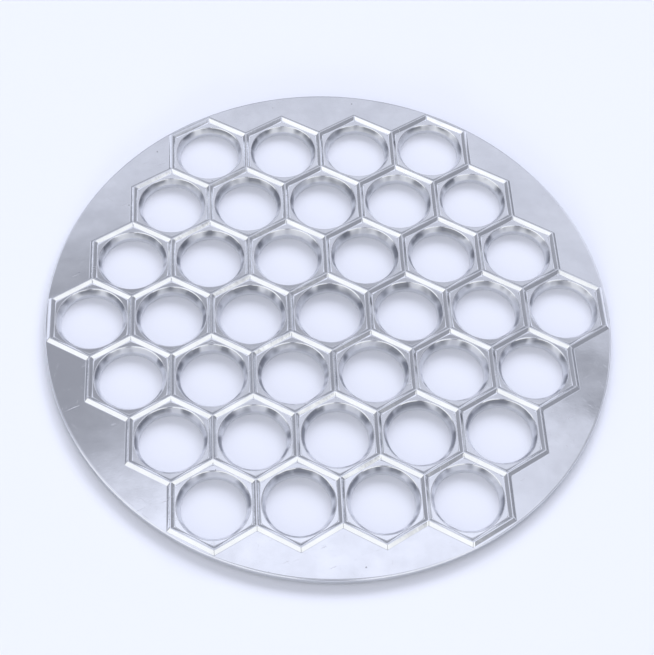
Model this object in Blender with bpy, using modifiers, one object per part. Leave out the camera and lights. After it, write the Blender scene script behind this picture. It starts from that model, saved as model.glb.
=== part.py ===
"""Dumpling mold: a round cast aluminium plate with a honeycomb of open cells.

Each cell is a shallow hexagonal pocket with a round hole in its floor, which narrows like
a funnel and then goes nearly straight down through a collar.
Neighbouring pockets share one low rib, which parts the dough when it is rolled over.
Under the plate each hole ends in a round collar. The feet of the collars lie in one
plane, z = 0, and carry the plate. The top is crowned a little, so that the rim lies
lower than the middle.

Metres, +Z up, rows of cells along X, the middle cell on the Z axis.
"""

import math

import bmesh
import bpy
from mathutils import Matrix

# Cells
CELL_RINGS = 3  # rings of cells around the middle one: 37 cells in all
CELL_PITCH = 0.0342  # from the middle of one cell to the next
RIB_HEIGHT = 0.0015  # crest above the pocket floor
RIB_FOOT = 0.0030
RIB_CREST = 0.00045
POCKET_LEDGE = 0.0004  # floor between the foot of a rib and the edge of the hole
HOLE_EDGE = 0.00025  # chamfer around the hole's upper edge
HOLE_DEPTH = 0.0054  # pocket floor to collar foot in the middle of the plate
HOLE_TAPER = 0.00165  # how much the radius shrinks on the way down
FUNNEL_DEPTH = 0.0025  # pocket floor to the foot of the funnel
BORE_TAPER = 0.00015  # what is left of the taper below the funnel
COLLAR_WALL = 0.0016  # at the foot
COLLAR_DRAFT = 0.0005  # how much the collar's outer radius grows up to the plate

# Plate
PLATE_THICKNESS = 0.0034
PLATE_CROWN = 0.0013  # middle of the top above its rim
RIM_WIDTH = 0.000825  # outside the outermost corners of the ribs: a plate 245 mm across
RIM_ROUND = 0.0006

# Facets
HOLE_SEGMENTS = 24
RIM_SEGMENTS = 80
ROUND_STEPS = 2
SHARP_ANGLE = math.radians(25)

# Worked out from the sizes above
COS_30 = math.cos(math.radians(30))
RIB_SLOPE = (RIB_FOOT - RIB_CREST) / 2 / RIB_HEIGHT  # sideways run for each unit of height
POCKET_FLOOR = HOLE_DEPTH
RIB_TOP = POCKET_FLOOR + RIB_HEIGHT
PLATE_UNDERSIDE = POCKET_FLOOR - PLATE_THICKNESS
FOOT_APOTHEM = (CELL_PITCH - RIB_FOOT) / 2
HOLE_RADIUS = FOOT_APOTHEM - POCKET_LEDGE - HOLE_EDGE
HOLE_FOOT_RADIUS = HOLE_RADIUS - HOLE_TAPER
BORE_RADIUS = HOLE_FOOT_RADIUS + BORE_TAPER
COLLAR_FOOT_RADIUS = HOLE_FOOT_RADIUS + COLLAR_WALL
OUTER_APOTHEM = (CELL_PITCH + RIB_FOOT) / 2
OUTER_CORNER = math.hypot(CELL_RINGS * CELL_PITCH + OUTER_APOTHEM, OUTER_APOTHEM * math.tan(math.radians(30)))
PLATE_RADIUS = OUTER_CORNER + RIM_WIDTH
MERGE = HOLE_EDGE / 25  # corners closer than this are one corner


def cell_centres():
    """The middles of the cells, row by row, in a hexagon of CELL_RINGS rings."""
    centres = []
    for row in range(-CELL_RINGS, CELL_RINGS + 1):
        count = 2 * CELL_RINGS + 1 - abs(row)
        for i in range(count):
            centres.append(((i - (count - 1) / 2) * CELL_PITCH, row * CELL_PITCH * COS_30))
    return centres


def add_object(name, mesh, collection):
    obj = bpy.data.objects.new(name, mesh)
    collection.objects.link(obj)
    return obj


def as_tool(obj):
    obj.hide_render = True
    obj.display_type = "WIRE"
    return obj


def evaluated_mesh(obj):
    depsgraph = bpy.context.evaluated_depsgraph_get()
    return bpy.data.meshes.new_from_object(obj.evaluated_get(depsgraph))


def turned(name, profile, segments, collection):
    """A profile of (radius, height) points, top to bottom, turned about the Z axis."""
    mesh = bpy.data.meshes.new(name)
    points = [(radius, 0, height) for radius, height in profile]
    mesh.from_pydata(points, [(i, i + 1) for i in range(len(points) - 1)], [])
    obj = add_object(name, mesh, collection)
    screw = obj.modifiers.new("turn", "SCREW")
    screw.steps = segments
    screw.render_steps = segments
    screw.use_merge_vertices = True
    screw.merge_threshold = MERGE
    screw.use_smooth_shade = False
    return obj


def frustum(name, segments, foot_radius, foot_z, top_radius, top_z, collection):
    """A straight or tapered plug with its middle on the Z axis and a corner towards +Y."""
    bm = bmesh.new()
    middle = Matrix.Translation((0, 0, (foot_z + top_z) / 2))
    bmesh.ops.create_cone(
        bm, cap_ends=True, segments=segments, radius1=foot_radius, radius2=top_radius,
        depth=top_z - foot_z, matrix=middle,
    )
    mesh = bpy.data.meshes.new(name)
    bm.to_mesh(mesh)
    bm.free()
    return add_object(name, mesh, collection)


def at_every_cell(name, tool, collection):
    """One object with a copy of the tool at each cell; the tool itself goes."""
    one = evaluated_mesh(tool)
    bpy.data.objects.remove(tool, do_unlink=True)
    bm = bmesh.new()
    for x, y in cell_centres():
        first = len(bm.verts)
        bm.from_mesh(one)
        bm.verts.ensure_lookup_table()
        bmesh.ops.translate(bm, verts=bm.verts[first:], vec=(x, y, 0))
    mesh = bpy.data.meshes.new(name)
    bm.to_mesh(mesh)
    bm.free()
    return as_tool(add_object(name, mesh, collection))


def combine(obj, tool, operation):
    boolean = obj.modifiers.new(tool.name, "BOOLEAN")
    boolean.object = tool
    boolean.operation = operation
    boolean.solver = "EXACT"


def plate_blank(collection):
    """The round plate with its rounded rim."""
    blank = frustum("mold_plate", RIM_SEGMENTS, PLATE_RADIUS, PLATE_UNDERSIDE, PLATE_RADIUS, POCKET_FLOOR, collection)
    rounding = blank.modifiers.new("rim", "BEVEL")
    rounding.width = RIM_ROUND
    rounding.segments = ROUND_STEPS
    rounding.limit_method = "ANGLE"
    return blank


def honeycomb_sheet(bm, height, sideways):
    """Flat hexagons, one for each cell, with their common outline moved out sideways.

    Returns the outline's edges.
    """
    verts = []
    for x, y in cell_centres():
        corners = bmesh.ops.create_circle(
            bm, cap_ends=True, segments=6, radius=CELL_PITCH / 2 / COS_30,
            matrix=Matrix.Translation((x, y, height)),
        )
        verts += corners["verts"]
    bmesh.ops.remove_doubles(bm, verts=verts, dist=MERGE)
    moves = []
    outline = [edge for edge in bm.edges if edge.is_boundary and abs(edge.verts[0].co.z - height) < MERGE]
    for vert in {vert for edge in outline for vert in edge.verts}:
        sides = [edge for edge in vert.link_edges if edge.is_boundary]
        outward = []
        for side in sides:
            middle = (side.verts[0].co + side.verts[1].co) / 2
            outward.append((middle - side.link_faces[0].calc_center_median()).normalized())
        mitre = (outward[0] + outward[1]) / (1 + outward[0].dot(outward[1]))
        moves.append((vert, mitre * sideways))
    for vert, move in moves:
        vert.co += move
    return outline


def honeycomb_block(collection):
    """A solid block with the honeycomb's outline; the pockets leave its ribs standing."""
    sunk = PLATE_THICKNESS / 4
    bm = bmesh.new()
    outline = honeycomb_sheet(bm, RIB_TOP, RIB_CREST / 2)
    outline += honeycomb_sheet(bm, POCKET_FLOOR - sunk, RIB_FOOT / 2 + sunk * RIB_SLOPE)
    bmesh.ops.bridge_loops(bm, edges=outline)
    bmesh.ops.recalc_face_normals(bm, faces=bm.faces)
    mesh = bpy.data.meshes.new("honeycomb_block")
    bm.to_mesh(mesh)
    bm.free()
    return as_tool(add_object("honeycomb_block", mesh, collection))


def pockets(collection):
    """The hexagonal hollows between the ribs, down to the pocket floor."""
    above = RIB_CREST / 4
    tool = frustum(
        "pocket", 6,
        FOOT_APOTHEM / COS_30, POCKET_FLOOR,
        ((CELL_PITCH - RIB_CREST) / 2 + above * RIB_SLOPE) / COS_30, RIB_TOP + above, collection,
    )
    return at_every_cell("pockets", tool, collection)


def collars(collection):
    """Round collars under the plate, one around each hole."""
    sunk = PLATE_THICKNESS / 2
    draft = COLLAR_DRAFT / PLATE_UNDERSIDE
    top = PLATE_UNDERSIDE + sunk
    tool = frustum(
        "collar", HOLE_SEGMENTS, COLLAR_FOOT_RADIUS, 0, COLLAR_FOOT_RADIUS + draft * top, top, collection,
    )
    return at_every_cell("collars", tool, collection)


def holes(collection):
    """Round holes: a chamfered upper edge, a funnel, and a bore that is nearly straight."""
    past = HOLE_EDGE / 2
    taper = BORE_TAPER / (HOLE_DEPTH - FUNNEL_DEPTH)
    profile = [
        (0, POCKET_FLOOR + past),
        (HOLE_RADIUS + HOLE_EDGE + past, POCKET_FLOOR + past),
        (HOLE_RADIUS, POCKET_FLOOR - HOLE_EDGE),
        (BORE_RADIUS, POCKET_FLOOR - FUNNEL_DEPTH),
        (HOLE_FOOT_RADIUS - taper * past, -past),
        (0, -past),
    ]
    tool = turned("hole", profile, HOLE_SEGMENTS, collection)
    return at_every_cell("holes", tool, collection)


def crown(bm):
    """Lowers the top and the underside towards the rim; the collars' feet stay level."""
    for vert in bm.verts:
        drop = PLATE_CROWN * (vert.co.x**2 + vert.co.y**2) / PLATE_RADIUS**2
        vert.co.z -= drop * min(1, vert.co.z / PLATE_UNDERSIDE)


def finish_plate(plate):
    """Turns the modifiers into one plain mesh, crowns it and shades it."""
    mesh = evaluated_mesh(plate)
    plate.modifiers.clear()
    bm = bmesh.new()
    bm.from_mesh(mesh)
    bmesh.ops.remove_doubles(bm, verts=bm.verts, dist=MERGE / 10)
    bmesh.ops.triangulate(bm, faces=bm.faces)
    crown(bm)
    bm.to_mesh(mesh)
    bm.free()
    mesh.name = "mold_plate"
    plate.data = mesh
    mesh.shade_smooth()
    mesh.set_sharp_from_angle(angle=SHARP_ANGLE)


def cast_aluminium():
    material = bpy.data.materials.new("cast_aluminium")
    material.use_nodes = True
    shader = material.node_tree.nodes["Principled BSDF"]
    shader.inputs["Base Color"].default_value = (0.80, 0.82, 0.86, 1)
    shader.inputs["Metallic"].default_value = 1
    shader.inputs["Roughness"].default_value = 0.32
    return material


def main():
    for obj in list(bpy.data.objects):
        bpy.data.objects.remove(obj, do_unlink=True)
    parts = bpy.data.collections.new("dumpling_mold")
    tools = bpy.data.collections.new("cutters")
    bpy.context.scene.collection.children.link(parts)
    bpy.context.scene.collection.children.link(tools)
    plate = plate_blank(parts)
    combine(plate, honeycomb_block(tools), "UNION")
    combine(plate, collars(tools), "UNION")
    combine(plate, pockets(tools), "DIFFERENCE")
    combine(plate, holes(tools), "DIFFERENCE")
    finish_plate(plate)
    plate.data.materials.clear()
    plate.data.materials.append(cast_aluminium())


main()
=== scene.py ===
"""Dumpling mold: one cast aluminium plate with a honeycomb of open cells.

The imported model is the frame. The plate shown here has the same sizes and the same form,
with finer rounding on its ribs, holes, collars and rim, and a cast aluminium finish.
"""

import math

import bmesh
import bpy
from mathutils import Matrix, Vector

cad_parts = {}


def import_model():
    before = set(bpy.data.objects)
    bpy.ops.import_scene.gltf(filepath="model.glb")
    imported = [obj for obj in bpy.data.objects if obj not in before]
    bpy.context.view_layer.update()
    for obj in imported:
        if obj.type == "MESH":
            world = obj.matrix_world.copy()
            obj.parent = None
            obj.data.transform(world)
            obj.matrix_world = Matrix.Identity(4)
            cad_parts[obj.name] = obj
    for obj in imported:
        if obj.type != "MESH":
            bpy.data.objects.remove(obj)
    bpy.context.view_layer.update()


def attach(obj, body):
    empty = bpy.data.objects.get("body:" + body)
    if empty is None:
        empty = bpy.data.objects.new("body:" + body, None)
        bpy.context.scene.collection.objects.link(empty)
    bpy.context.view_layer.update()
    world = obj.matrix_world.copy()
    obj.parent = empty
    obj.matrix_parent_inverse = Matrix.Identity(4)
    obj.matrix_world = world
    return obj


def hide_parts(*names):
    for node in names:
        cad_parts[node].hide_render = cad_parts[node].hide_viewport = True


# The plate, in metres, with the same sizes as its source
CELL_RINGS = 3  # rings of cells around the middle one
CELL_PITCH = 0.0342  # from the middle of one cell to the next
RIB_HEIGHT = 0.0015  # crest above the pocket floor
RIB_FOOT = 0.0030
RIB_CREST = 0.00045
POCKET_LEDGE = 0.0004  # floor between the foot of a rib and the edge of the hole
HOLE_EDGE = 0.00025  # chamfer around the hole's upper edge
HOLE_DEPTH = 0.0054  # pocket floor to collar foot in the middle of the plate
HOLE_TAPER = 0.00165  # how much the radius shrinks on the way down
FUNNEL_DEPTH = 0.0025  # pocket floor to the foot of the funnel
BORE_TAPER = 0.00015  # what is left of the taper below the funnel
COLLAR_WALL = 0.0016  # at the foot
COLLAR_DRAFT = 0.0005  # how much the collar's outer radius grows up to the plate
PLATE_THICKNESS = 0.0034
PLATE_CROWN = 0.0013  # middle of the top above its rim
RIM_WIDTH = 0.000825  # outside the outermost corners of the ribs
RIM_ROUND = 0.0006
CREST_WEAR = 0.00001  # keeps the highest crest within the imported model's height

# Angles in a hexagonal cell, in degrees
SIDE_TURN = 60  # from the middle of a side to the middle of the next
CORNER_TURN = 30  # from the middle of a side to its corner
SIDE_DIVISIONS = (7, 14, 21, 26.7, 28)  # where half a side is divided, from its middle

# Worked out from the sizes above
COS_30 = math.cos(math.radians(30))
TAN_30 = math.tan(math.radians(30))
POCKET_FLOOR = HOLE_DEPTH
RIB_TOP = POCKET_FLOOR + RIB_HEIGHT - CREST_WEAR
PLATE_UNDERSIDE = POCKET_FLOOR - PLATE_THICKNESS
FOOT_APOTHEM = (CELL_PITCH - RIB_FOOT) / 2
HOLE_RADIUS = FOOT_APOTHEM - POCKET_LEDGE - HOLE_EDGE
HOLE_FOOT_RADIUS = HOLE_RADIUS - HOLE_TAPER
BORE_RADIUS = HOLE_FOOT_RADIUS + BORE_TAPER
COLLAR_FOOT_RADIUS = HOLE_FOOT_RADIUS + COLLAR_WALL
OUTER_APOTHEM = (CELL_PITCH + RIB_FOOT) / 2
OUTER_CORNER = math.hypot(CELL_RINGS * CELL_PITCH + OUTER_APOTHEM, OUTER_APOTHEM * TAN_30)
PLATE_RADIUS = OUTER_CORNER + RIM_WIDTH

# Rounding of the casting's edges, as (radius, steps of the arc)
CREST_ROUND = (0.00012, 2)
LIP_ROUND = (0.0003, 2)
FUNNEL_ROUND = (0.0010, 3)
BORE_FOOT_ROUND = (0.0001, 1)
COLLAR_ROUND = (0.0003, 2)
COLLAR_FILLET = (0.0005, 2)
RIM_TOP_ROUND = (RIM_ROUND, 4)
RIM_FOOT_ROUND = (RIM_ROUND, 3)

# Rounding where ribs meet the pocket floor and each other
FOOT_FILLET = 0.0004
CORNER_FILLET = 0.0012  # the foot fillet in a pocket's corners
FILLET_GROWS = 18  # where it starts to grow, in degrees from the middle of a side
FILLET_STEPS = 3
VALLEY_ROUND = 0.0007  # radius of a pocket's corners at its floor; it shrinks to nothing at the crest
MITRE_ROUND = 0.0004  # how far from its corner the honeycomb's outline starts to turn
ARC_SHARE = (1 / COS_30 - 1) / TAN_30  # how far an arc stays off the corner, over how far off it starts

# The mesh
BAND_SHARES = (0.35, 0.7, 0.98)  # rows of points on the flat band, as shares of the way out to the rim
UNDER_SHARES = (0.3, 0.65, 1)  # the same under the plate, from the rim back to the honeycomb
FLAT_HOLD = 0.00003  # a row of points this far out on a flat keeps the rounding beside it from shading it
SKIN_EDGE = 0.0001  # the rough skin comes in over this depth below the chamfer
RELIEF_RISE = RIB_HEIGHT / 4  # the uneven relief comes in over this height above a rib's foot
MERGE = 1e-7  # points closer than this are one point
SHARP_ANGLE = math.radians(25)

# The camera: its place in metres, its angles in degrees, its lens and sensor in millimetres
CAMERA_PLACE = Vector((-0.04134, -0.32993, 0.5380))
CAMERA_AZIMUTH = 7.01  # how far it looks round from +Y towards +X
CAMERA_DIP = 58.63  # how far it looks down
CAMERA_ROLL = -4.75
CAMERA_LENS = 79.82
CAMERA_SENSOR = 36
CAMERA_NEAR = 0.01  # in metres

# Tints of the light
COOL = (0.965, 1.0, 1.16)
PLAIN = (0.985, 1.0, 1.02)

# The studio's light by height: (elevation in degrees, light), with the two ends of the range first
STUDIO_HEIGHTS = (
    (0, 0.32),
    (90, 0.41),
    (20, 0.41),
    (38, 0.50),
    (48, 0.71),
    (55.3, 0.69),
    (57, 0.35),
    (59, 0.335),
    (60, 0.55),
    (64, 0.75),
    (67, 0.96),
    (72, 0.96),
    (80, 0.45),
)

# Panels around it: azimuth from +Y towards +X, elevation, half width, half height, blur, light, tint
STUDIO_PANELS = (
    (-17, 59.2, 11, 5.4, 3, 0.35, COOL),
    (28, 62, 9, 2.6, 1.2, 0.76, COOL),
    (180, 20, 48.8, 17, 2, 1.09, PLAIN),
    (-120, 22, 30, 21, 5, 1.09, PLAIN),
    (180, 24, 8, 26, 3, 0.30, COOL),
    (95, 15, 36, 20, 2, 0.33, COOL),
    (44, 37, 17, 13, 4, 0.95, COOL),
    (-44, 37, 17, 13, 4, 0.95, COOL),
)

# Lamps: azimuth, elevation and angle across in degrees, strength, and True if it only shows in the metal
LAMPS = (
    (-10, 36, 24, 0.65, False),
    (15, 33, 24, 1.15, False),
    (42, 33, 24, 0.68, False),
    (190, 9, 10, 0.90, False),
    (-128, 56, 40, 0.06, True),
    (128, 56, 40, 0.07, True),
)

# The floor
FLOOR_HALF = 30  # metres from its middle to each edge
FLOOR_COLOUR = (0.785, 0.795, 0.825, 1)
FLOOR_ROUGHNESS = 0.7

# The metal's noise, as (scale, detail, roughness)
CLOUDS = (60, 3, 0.55)
BLOTCHES = (110, 3, 0.5)
GRAIN = (1100, 2, 0.6)
REFLECTION_PATCHES = (150, 1, 0.5)
SWELL = (45, 2, 0.45)
RIPPLE = (420, 2, 0.5)
RIB_RELIEF = (260, 2, 0.5)

# The metal's colours: the bright top, then the duller cast skin on the walls of the holes and below, with
# painted reflections laid on the skin as dark and pale patches and a lighter foot
DEEP_BRIGHT = (0.80, 0.815, 0.84, 1)
FULL_BRIGHT = (0.97, 0.98, 0.99, 1)
BLOTCH = (0.70, 0.705, 0.72, 1)
BLOTCH_MOST = 0.22  # how much of a blotch's colour shows at most
PIT = (0.45, 0.45, 0.47, 1)
DARK_PAINTED_REFLECTION = (0.29, 0.30, 0.33, 1)
PALE_PAINTED_REFLECTION = (0.76, 0.77, 0.80, 1)
FOOT_PAINTED_REFLECTION = (0.86, 0.87, 0.89, 1)
FOOT_REFLECTION_HEIGHTS = (0.0034, 0.0012)  # the painted floor reflection comes in from one height down to the other, lightening the skin towards its foot
REFLECTION_PATCH_SQUEEZE = (1, 1, 0.4)  # makes the painted reflection patches longer upwards

# Noise between these values fades from one look to the other
BLOTCH_FADE = (0.35, 0.65)
REFLECTION_PATCH_FADE = (0.40, 0.58)
ROUGHNESS_FADE = (0.3, 0.7)

# The metal's roughness, at its least and at its most
BRIGHT_ROUGHNESS = (0.07, 0.14)
SKIN_ROUGHNESS = (0.30, 0.42)
SCRATCH_ROUGHNESS = 0.28

# Pits: the metal is divided into small cells, and about one in ten has a pit
PIT_CELLS = 240  # cells in a metre
PIT_CHANCE = (0.90, 0.91)  # a cell whose random value is above this has a pit
PIT_EDGE = (0.09, 0.05)  # a pit deepens between these distances from its middle, where a cell is 1 wide

# Scratches: turn in degrees, length and spacing in metres, how sparse they are
SCRATCHES = (
    (24, 0.006, 0.0005, 0.59),
    (-41, 0.005, 0.0004, 0.62),
    (78, 0.004, 0.0005, 0.63),
)
SCRATCH_LINES = (1, 0, 0.5)  # the noise that draws them
SCRATCH_AREAS = (0.15, 1, 0.5)  # the wider noise that chooses where there are some
SCRATCH_FADE = (0.72, 0.77)
AREA_FADE = 0.05  # how softly an area with scratches ends


def rounded(corners):
    """A line of points through corners given as (across, height).

    A corner that also has a radius and a number of steps is rounded by an arc.
    """
    points = []
    for i, (across, height, *rounding) in enumerate(corners):
        corner = Vector((across, height))
        if not rounding:
            points.append(corner)
            continue
        radius, steps = rounding
        back = (Vector(corners[i - 1][:2]) - corner).normalized()
        ahead = (Vector(corners[i + 1][:2]) - corner).normalized()
        half = back.angle(ahead) / 2
        reach = radius / math.tan(half)
        middle = corner + (back + ahead).normalized() * radius / math.sin(half)
        first = corner + back * reach - middle
        last = corner + ahead * reach - middle
        turn = first.angle_signed(last)
        for step in range(steps + 1):
            spin = Matrix.Rotation(-turn * step / steps, 2)
            points.append(middle + spin @ first)
    return points


def rib_line(sign, fillet=FOOT_FILLET):
    """A rib's side as (distance from its middle line, height), from the crest to just beyond its foot."""
    slope = rounded([
        (0, RIB_TOP),
        (RIB_CREST / 2, RIB_TOP, *CREST_ROUND),
        (RIB_FOOT / 2, POCKET_FLOOR, fillet, FILLET_STEPS),
        (RIB_FOOT, POCKET_FLOOR),
    ])
    points = [(sign * point.x, point.y) for point in slope[:-1]]
    return points + [(points[-1][0] + sign * FLAT_HOLD, POCKET_FLOOR)]


def hole_line():
    """The hole and its collar as (radius, height), from the pocket floor round the foot to the underside."""
    slope = (HOLE_RADIUS - BORE_RADIUS) / (FUNNEL_DEPTH - HOLE_EDGE)
    line = rounded([
        (HOLE_RADIUS + HOLE_EDGE + POCKET_LEDGE, POCKET_FLOOR),
        (HOLE_RADIUS + HOLE_EDGE, POCKET_FLOOR, *LIP_ROUND),
        (HOLE_RADIUS, POCKET_FLOOR - HOLE_EDGE),
        (HOLE_RADIUS - slope * SKIN_EDGE, POCKET_FLOOR - HOLE_EDGE - SKIN_EDGE),
        (BORE_RADIUS, POCKET_FLOOR - FUNNEL_DEPTH, *FUNNEL_ROUND),
        (HOLE_FOOT_RADIUS, 0, *BORE_FOOT_ROUND),
        (COLLAR_FOOT_RADIUS, 0, *COLLAR_ROUND),
        (COLLAR_FOOT_RADIUS + COLLAR_DRAFT, PLATE_UNDERSIDE, *COLLAR_FILLET),
        (CELL_PITCH / 2, PLATE_UNDERSIDE),
    ])
    points = [(point.x, point.y) for point in line[1:-1]]
    return [(points[0][0] + FLAT_HOLD, POCKET_FLOOR)] + points


def rim_line():
    """The rim as (radius, height), from the flat top round to the underside."""
    line = rounded([
        (0, POCKET_FLOOR),
        (PLATE_RADIUS, POCKET_FLOOR, *RIM_TOP_ROUND),
        (PLATE_RADIUS, PLATE_UNDERSIDE, *RIM_FOOT_ROUND),
        (0, PLATE_UNDERSIDE),
    ])
    return [(point.x, point.y) for point in line[1:-1]]


def cell_centres():
    """The middle of every cell, row by row."""
    centres = []
    for row in range(-CELL_RINGS, CELL_RINGS + 1):
        count = 2 * CELL_RINGS + 1 - abs(row)
        for i in range(count):
            centres.append(Vector(((i - (count - 1) / 2) * CELL_PITCH, row * CELL_PITCH * COS_30)))
    return centres


def heading(angle):
    """Unit vector at an angle in degrees, from +X towards +Y."""
    return Vector((math.cos(math.radians(angle)), math.sin(math.radians(angle))))


def side_angles():
    """Where a cell's side is divided, in degrees from its middle, with divisions close to both corners."""
    near_corner = math.degrees(math.atan(TAN_30 - MITRE_ROUND / (CELL_PITCH / 2)))
    half = [*SIDE_DIVISIONS, near_corner, CORNER_TURN]
    return [-angle for angle in reversed(half)] + [0] + half


def pocket_reach(angle, apothem, rounding):
    """From a cell's middle to its hexagon with rounded corners, at an angle from the middle of a side."""
    straight = (apothem - rounding) * TAN_30
    if apothem * math.tan(math.radians(abs(angle))) <= straight:
        return apothem / math.cos(math.radians(angle))
    from_corner = math.radians(CORNER_TURN - abs(angle))
    middle = (apothem - rounding) / COS_30
    return middle * math.cos(from_corner) + math.sqrt(rounding**2 - (middle * math.sin(from_corner)) ** 2)


def add_grid(verts, faces, rows):
    """Points row by row, with a face between each two neighbours in two neighbouring rows."""
    first = len(verts)
    width = len(rows[0])
    for row in rows:
        verts.extend(row)
    for i in range(len(rows) - 1):
        for j in range(width - 1):
            corner = first + i * width + j
            faces.append((corner, corner + 1, corner + width + 1, corner + width))


def add_cell(verts, faces, centre, side):
    """One sixth of a cell: rib, pocket floor, hole wall, collar and underside."""
    angles = side_angles()
    slopes = []
    for angle in angles:
        growth = max(0, (abs(angle) - FILLET_GROWS) / (CORNER_TURN - FILLET_GROWS))
        slope = []
        for offset, height in rib_line(-1, FOOT_FILLET + (CORNER_FILLET - FOOT_FILLET) * growth):
            rounding = VALLEY_ROUND * (RIB_TOP - height) / RIB_HEIGHT
            slope.append((pocket_reach(angle, CELL_PITCH / 2 + offset, rounding), height))
        slopes.append(slope)
    rows = list(zip(*slopes))
    for ring in hole_line():
        rows.append([ring] * len(angles))
    rows.append([(CELL_PITCH / 2 / math.cos(math.radians(angle)), PLATE_UNDERSIDE) for angle in angles])
    placed = []
    for row in rows:
        placed.append([
            (*(centre + reach * heading(SIDE_TURN * side + angle)), height)
            for angle, (reach, height) in zip(angles, row)
        ])
    add_grid(verts, faces, placed)


def add_border(verts, faces, corners, mitres, pulls):
    """What lies outside one side of the honeycomb's outline: rib slope, flat band, rim and underside."""
    shares = [(1 + math.tan(math.radians(angle)) / TAN_30) / 2 for angle in side_angles()]

    def moved(offset):
        """The side's points, moved outwards."""
        ends = [corner + mitre * offset for corner, mitre in zip(corners, mitres)]
        points = [ends[0].lerp(ends[1], share) for share in shares]
        if offset:
            points[0] += pulls[0]
            points[-1] += pulls[1]
        return points

    slope = rib_line(1)
    rim = rim_line()
    foot = moved(slope[-1][0])
    rim_top = rim[0][0]
    rim_foot = rim[-1][0]
    rows = []
    for offset, height in slope:
        rows.append([(*point, height) for point in moved(offset)])
    for share in BAND_SHARES:
        rows.append([(*point.lerp(point.normalized() * rim_top, share), POCKET_FLOOR) for point in foot])
    for radius, height in rim:
        rows.append([(*(point.normalized() * radius), height) for point in foot])
    for share in UNDER_SHARES:
        rows.append([
            (*(start.normalized() * rim_foot).lerp(end, share), PLATE_UNDERSIDE)
            for start, end in zip(foot, moved(0))
        ])
    add_grid(verts, faces, rows)


def meeting_side(corner, outward, sides):
    """The ends and the heading of the other side that ends at a corner."""
    return next(
        (ends, other) for ends, other in sides
        if other != outward and min((corner - end).length for end in ends) < MERGE
    )


def outline_sides():
    """The honeycomb's outer sides.

    Each as its two corners, how they move for one metre outwards, and how rounding pulls them in.
    """
    centres = cell_centres()
    found = []
    for centre in centres:
        for side in range(6):
            outward = heading(SIDE_TURN * side)
            beyond = centre + outward * CELL_PITCH
            if any((other - beyond).length < MERGE for other in centres):
                continue
            corners = [
                centre + heading(SIDE_TURN * side + turn) * CELL_PITCH / 2 / COS_30
                for turn in (-CORNER_TURN, CORNER_TURN)
            ]
            found.append((corners, outward))
    sides = []
    for corners, outward in found:
        mitres = []
        pulls = []
        for corner, far_end in zip(corners, reversed(corners)):
            ends, other = meeting_side(corner, outward, found)
            mitres.append((outward + other) / (1 + outward.dot(other)))
            other_end = max(ends, key=lambda end: (end - corner).length)
            along = (far_end - corner).normalized() + (other_end - corner).normalized()
            pulls.append(along * MITRE_ROUND * ARC_SHARE)
        sides.append((corners, mitres, pulls))
    return sides


def cast_share(point):
    """How much rough cast skin is left at a point: none on the top and rim, all in the holes and below."""
    x, y, z = point
    if math.hypot(x, y) > PLATE_RADIUS - RIM_ROUND:
        return 0
    depth = POCKET_FLOOR - z
    return min(1, max(0, (depth - HOLE_EDGE) / SKIN_EDGE))


def rib_share(point):
    """How much of a rib's uneven relief there is at a point: none at its foot, all of it a little higher."""
    return min(1, max(0, (point[2] - POCKET_FLOOR) / RELIEF_RISE))


def crowned(point):
    """The point lowered towards the rim, with the feet of the collars left in one plane."""
    x, y, z = point
    drop = PLATE_CROWN * (x**2 + y**2) / PLATE_RADIUS**2
    return x, y, z - drop * min(1, z / PLATE_UNDERSIDE)


def make_plate():
    verts = []
    faces = []
    for centre in cell_centres():
        for side in range(6):
            add_cell(verts, faces, centre, side)
    for side in outline_sides():
        add_border(verts, faces, *side)
    mesh = bpy.data.meshes.new("mold")
    mesh.from_pydata([crowned(point) for point in verts], [], faces)
    for name, share in (("cast_skin", cast_share), ("rib_side", rib_share)):
        layer = mesh.attributes.new(name, "FLOAT", "POINT")
        layer.data.foreach_set("value", [share(point) for point in verts])
    bm = bmesh.new()
    bm.from_mesh(mesh)
    bmesh.ops.remove_doubles(bm, verts=bm.verts, dist=MERGE)
    bmesh.ops.recalc_face_normals(bm, faces=bm.faces)
    bm.to_mesh(mesh)
    bm.free()
    mesh.shade_smooth()
    mesh.set_sharp_from_angle(angle=SHARP_ANGLE)
    plate = bpy.data.objects.new("mold", mesh)
    bpy.context.scene.collection.objects.link(plate)
    return plate


def direction(azimuth, elevation):
    """Unit vector towards a place in the studio: azimuth from +Y towards +X, both in degrees."""
    turn = math.radians(azimuth)
    rise = math.radians(elevation)
    return Vector((math.sin(turn) * math.cos(rise), math.cos(turn) * math.cos(rise), math.sin(rise)))


def make_camera():
    turn = math.radians(CAMERA_AZIMUTH)
    forward = direction(CAMERA_AZIMUTH, -CAMERA_DIP)
    level = Vector((math.cos(turn), -math.sin(turn), 0))
    right = Matrix.Rotation(math.radians(CAMERA_ROLL), 3, forward) @ level
    up = right.cross(forward)
    data = bpy.data.cameras.new("camera")
    data.lens = CAMERA_LENS
    data.sensor_width = CAMERA_SENSOR
    data.sensor_fit = "HORIZONTAL"
    data.clip_start = CAMERA_NEAR
    camera = bpy.data.objects.new("camera", data)
    camera.matrix_world = Matrix((
        (right.x, up.x, -forward.x, CAMERA_PLACE.x),
        (right.y, up.y, -forward.y, CAMERA_PLACE.y),
        (right.z, up.z, -forward.z, CAMERA_PLACE.z),
        (0, 0, 0, 1),
    ))
    bpy.context.scene.collection.objects.link(camera)
    bpy.context.scene.camera = camera


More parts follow.
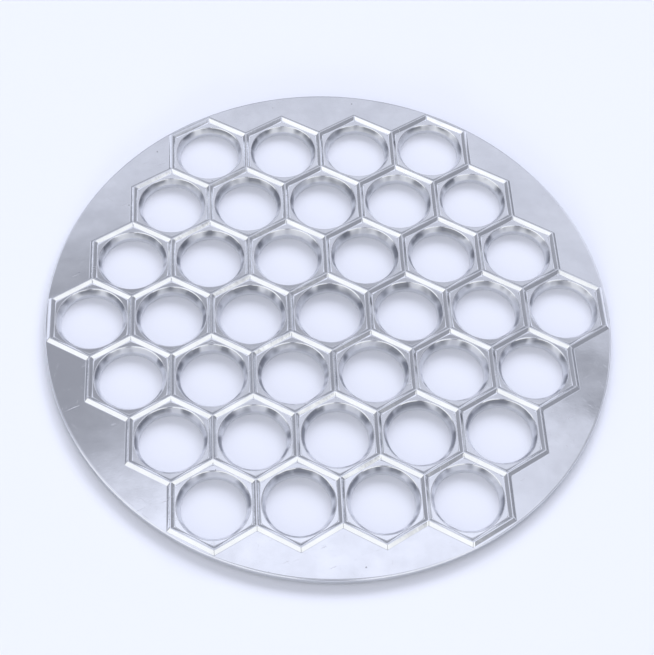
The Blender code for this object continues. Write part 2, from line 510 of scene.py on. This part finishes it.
def make_floor():
    corners = [(x * FLOOR_HALF, y * FLOOR_HALF, 0) for x, y in ((-1, -1), (1, -1), (1, 1), (-1, 1))]
    mesh = bpy.data.meshes.new("floor")
    mesh.from_pydata(corners, [], [(0, 1, 2, 3)])
    floor = bpy.data.objects.new("floor", mesh)
    bpy.context.scene.collection.objects.link(floor)
    material = bpy.data.materials.new("floor")
    material.use_nodes = True
    shader = material.node_tree.nodes["Principled BSDF"]
    shader.inputs["Base Color"].default_value = FLOOR_COLOUR
    shader.inputs["Roughness"].default_value = FLOOR_ROUGHNESS
    shader.inputs["Specular IOR Level"].default_value = 0
    mesh.materials.append(material)


def node(tree, kind, inputs=(), **settings):
    """A new node, with its settings and with values or other nodes' outputs on its inputs."""
    made = tree.nodes.new(kind)
    for name, value in settings.items():
        setattr(made, name, value)
    for socket, value in dict(inputs).items():
        if isinstance(value, bpy.types.NodeSocket):
            tree.links.new(value, made.inputs[socket])
        else:
            made.inputs[socket].default_value = value
    return made


def maths(tree, operation, *values):
    """The result of an operation on one or two values."""
    return node(tree, "ShaderNodeMath", dict(enumerate(values)), operation=operation).outputs[0]


def dot(tree, first, second):
    """How far the first vector goes along the second."""
    return node(tree, "ShaderNodeVectorMath", {0: first, 1: second}, operation="DOT_PRODUCT").outputs["Value"]


def noise(tree, place, scale, detail, roughness):
    """Cloudy noise, from 0 to 1 around a half."""
    made = node(
        tree, "ShaderNodeTexNoise",
        {"Vector": place, "Scale": scale, "Detail": detail, "Roughness": roughness},
    )
    return made.outputs["Fac"]


def mixed(tree, share, first, second):
    """A colour between two others."""
    return node(tree, "ShaderNodeMix", {0: share, 6: first, 7: second}, data_type="RGBA").outputs[2]


def blended(tree, share, first, second):
    """A value between two others."""
    return node(tree, "ShaderNodeMix", {0: share, 2: first, 3: second}).outputs[0]


def between(tree, value, low, high, start=0.0, end=1.0, curve="LINEAR"):
    """Start where the value is low, end where it is high, and steady outside them."""
    made = node(
        tree, "ShaderNodeMapRange",
        {"Value": value, "From Min": low, "From Max": high, "To Min": start, "To Max": end},
        interpolation_type=curve,
    )
    return made.outputs["Result"]


def scratches(tree, place, turn, length, spacing, sparse):
    """Fine scratches in about one direction, in some places only."""
    laid = node(
        tree, "ShaderNodeMapping",
        {"Vector": place, "Rotation": (0, 0, math.radians(turn)), "Scale": (length, spacing, 1)},
        vector_type="TEXTURE",
    ).outputs[0]
    lines = between(tree, noise(tree, laid, *SCRATCH_LINES), *SCRATCH_FADE)
    where = between(tree, noise(tree, laid, *SCRATCH_AREAS), sparse, sparse + AREA_FADE)
    return maths(tree, "MULTIPLY", lines, where)


def make_aluminium():
    """Cast aluminium: tumbled bright on top, with the duller cast skin left inside the holes and below, and
    painted reflections on that skin.
    """
    material = bpy.data.materials.new("cast_aluminium")
    material.use_nodes = True
    tree = material.node_tree
    shader = tree.nodes["Principled BSDF"]
    shader.inputs["Metallic"].default_value = 1
    place = node(tree, "ShaderNodeTexCoord").outputs["Object"]
    skin = node(tree, "ShaderNodeAttribute", attribute_name="cast_skin").outputs["Fac"]
    rib = node(tree, "ShaderNodeAttribute", attribute_name="rib_side").outputs["Fac"]

    clouds = noise(tree, place, *CLOUDS)
    blotches = noise(tree, place, *BLOTCHES)
    grain = noise(tree, place, *GRAIN)
    lines = 0
    for scratch in SCRATCHES:
        lines = maths(tree, "MAXIMUM", lines, scratches(tree, place, *scratch))
    cells = node(tree, "ShaderNodeTexVoronoi", {"Vector": place, "Scale": PIT_CELLS}).outputs
    chance = node(tree, "ShaderNodeSeparateColor", {0: cells["Color"]}).outputs[0]
    chosen = between(tree, chance, *PIT_CHANCE)
    pits = maths(tree, "MULTIPLY", chosen, between(tree, cells["Distance"], *PIT_EDGE))

    bright = mixed(tree, clouds, DEEP_BRIGHT, FULL_BRIGHT)
    mottled = mixed(tree, between(tree, blotches, *BLOTCH_FADE, 0, BLOTCH_MOST), bright, BLOTCH)
    marked = mixed(tree, pits, mottled, PIT)
    height = node(tree, "ShaderNodeSeparateXYZ", {0: place}).outputs["Z"]
    # The skin is lighter towards its foot: a painted reflection of the bright floor
    low = between(tree, height, *FOOT_REFLECTION_HEIGHTS)
    # The skin's dark and pale patches, stretched upwards, are painted reflections
    upright = node(tree, "ShaderNodeMapping", {"Vector": place, "Scale": REFLECTION_PATCH_SQUEEZE}).outputs[0]
    reflection_patches = between(tree, noise(tree, upright, *REFLECTION_PATCHES), *REFLECTION_PATCH_FADE)
    upper = mixed(tree, reflection_patches, DARK_PAINTED_REFLECTION, PALE_PAINTED_REFLECTION)
    skin_with_painted_reflections = mixed(tree, low, upper, FOOT_PAINTED_REFLECTION)
    tree.links.new(mixed(tree, skin, marked, skin_with_painted_reflections), shader.inputs["Base Color"])

    smooth = between(tree, blotches, *ROUGHNESS_FADE, *BRIGHT_ROUGHNESS)
    scratched = blended(tree, lines, smooth, SCRATCH_ROUGHNESS)
    rough = between(tree, grain, 0, 1, *SKIN_ROUGHNESS)
    tree.links.new(blended(tree, skin, scratched, rough), shader.inputs["Roughness"])

    # Each relief with its height in metres and how strongly it shows
    normal = None
    for relief, distance, strength in (
        (noise(tree, place, *SWELL), 0.0006, 0.16),
        (noise(tree, place, *RIPPLE), 0.00006, 0.06),
        (maths(tree, "MULTIPLY", rib, noise(tree, place, *RIB_RELIEF)), 0.0003, 0.13),
        (grain, 0.00002, 0.15),
        (lines, -0.00002, 0.15),
        (pits, -0.0001, 0.5),
    ):
        inputs = {"Height": relief, "Distance": distance, "Strength": strength}
        if normal:
            inputs["Normal"] = normal
        normal = node(tree, "ShaderNodeBump", inputs).outputs[0]
    tree.links.new(normal, shader.inputs["Normal"])
    return material


def tinted(light, tint):
    return [light * part for part in tint] + [1]


def soft_panel(tree, towards, height, behind, azimuth, elevation, half_width, half_height, blur, light, tint):
    """Lays a panel of light over what is behind it, its edges blurred. The panel's angles are in degrees."""
    turn = math.radians(azimuth)
    ahead = dot(tree, towards, (math.sin(turn), math.cos(turn), 0))
    aside = dot(tree, towards, (math.cos(turn), -math.sin(turn), 0))
    away = maths(tree, "ARCTAN2", aside, ahead)
    above = maths(tree, "SUBTRACT", height, math.radians(elevation))
    shares = []
    for offset, half in ((away, half_width), (above, half_height)):
        distance = maths(tree, "ABSOLUTE", offset)
        edge = (math.radians(half + blur), math.radians(half - blur))
        shares.append(between(tree, distance, *edge, curve="SMOOTHSTEP"))
    share = maths(tree, "MULTIPLY", *shares)
    return mixed(tree, share, behind, tinted(light, tint))


def make_world():
    """The studio: light by height, a dark gap under the ceiling light, and soft panels around."""
    world = bpy.data.worlds.new("studio")
    bpy.context.scene.world = world
    world.use_nodes = True
    tree = world.node_tree
    towards = node(tree, "ShaderNodeTexCoord").outputs["Generated"]
    upward = node(tree, "ShaderNodeSeparateXYZ", {0: towards}).outputs["Z"]
    height = maths(tree, "ARCSINE", upward)
    ramp = node(tree, "ShaderNodeValToRGB", {"Fac": upward})
    stops = ramp.color_ramp.elements
    for i, (elevation, light) in enumerate(STUDIO_HEIGHTS):
        place = math.sin(math.radians(elevation))
        # A new ramp already has a stop at each end
        stop = stops[i] if i < 2 else stops.new(place)
        stop.position = place
        stop.color = tinted(light, COOL)
    colour = ramp.outputs["Color"]
    for panel in STUDIO_PANELS:
        colour = soft_panel(tree, towards, height, colour, *panel)
    tree.links.new(colour, tree.nodes["Background"].inputs["Color"])


def make_lamps():
    for azimuth, elevation, spread, strength, mirrored in LAMPS:
        data = bpy.data.lights.new("lamp", "SUN")
        data.energy = strength
        data.angle = math.radians(spread)
        data.color = COOL
        lamp = bpy.data.objects.new("lamp", data)
        lamp.rotation_mode = "QUATERNION"
        lamp.rotation_quaternion = direction(azimuth, elevation).to_track_quat("Z", "Y")
        lamp.visible_glossy = mirrored
        lamp.visible_diffuse = not mirrored
        bpy.context.scene.collection.objects.link(lamp)


def main():
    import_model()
    make_camera()
    make_floor()
    make_world()
    make_lamps()
    bpy.context.scene.view_settings.view_transform = "Standard"
    plate = make_plate()
    plate.data.materials.append(make_aluminium())
    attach(plate, "root")
    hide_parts("mold_plate")


main()
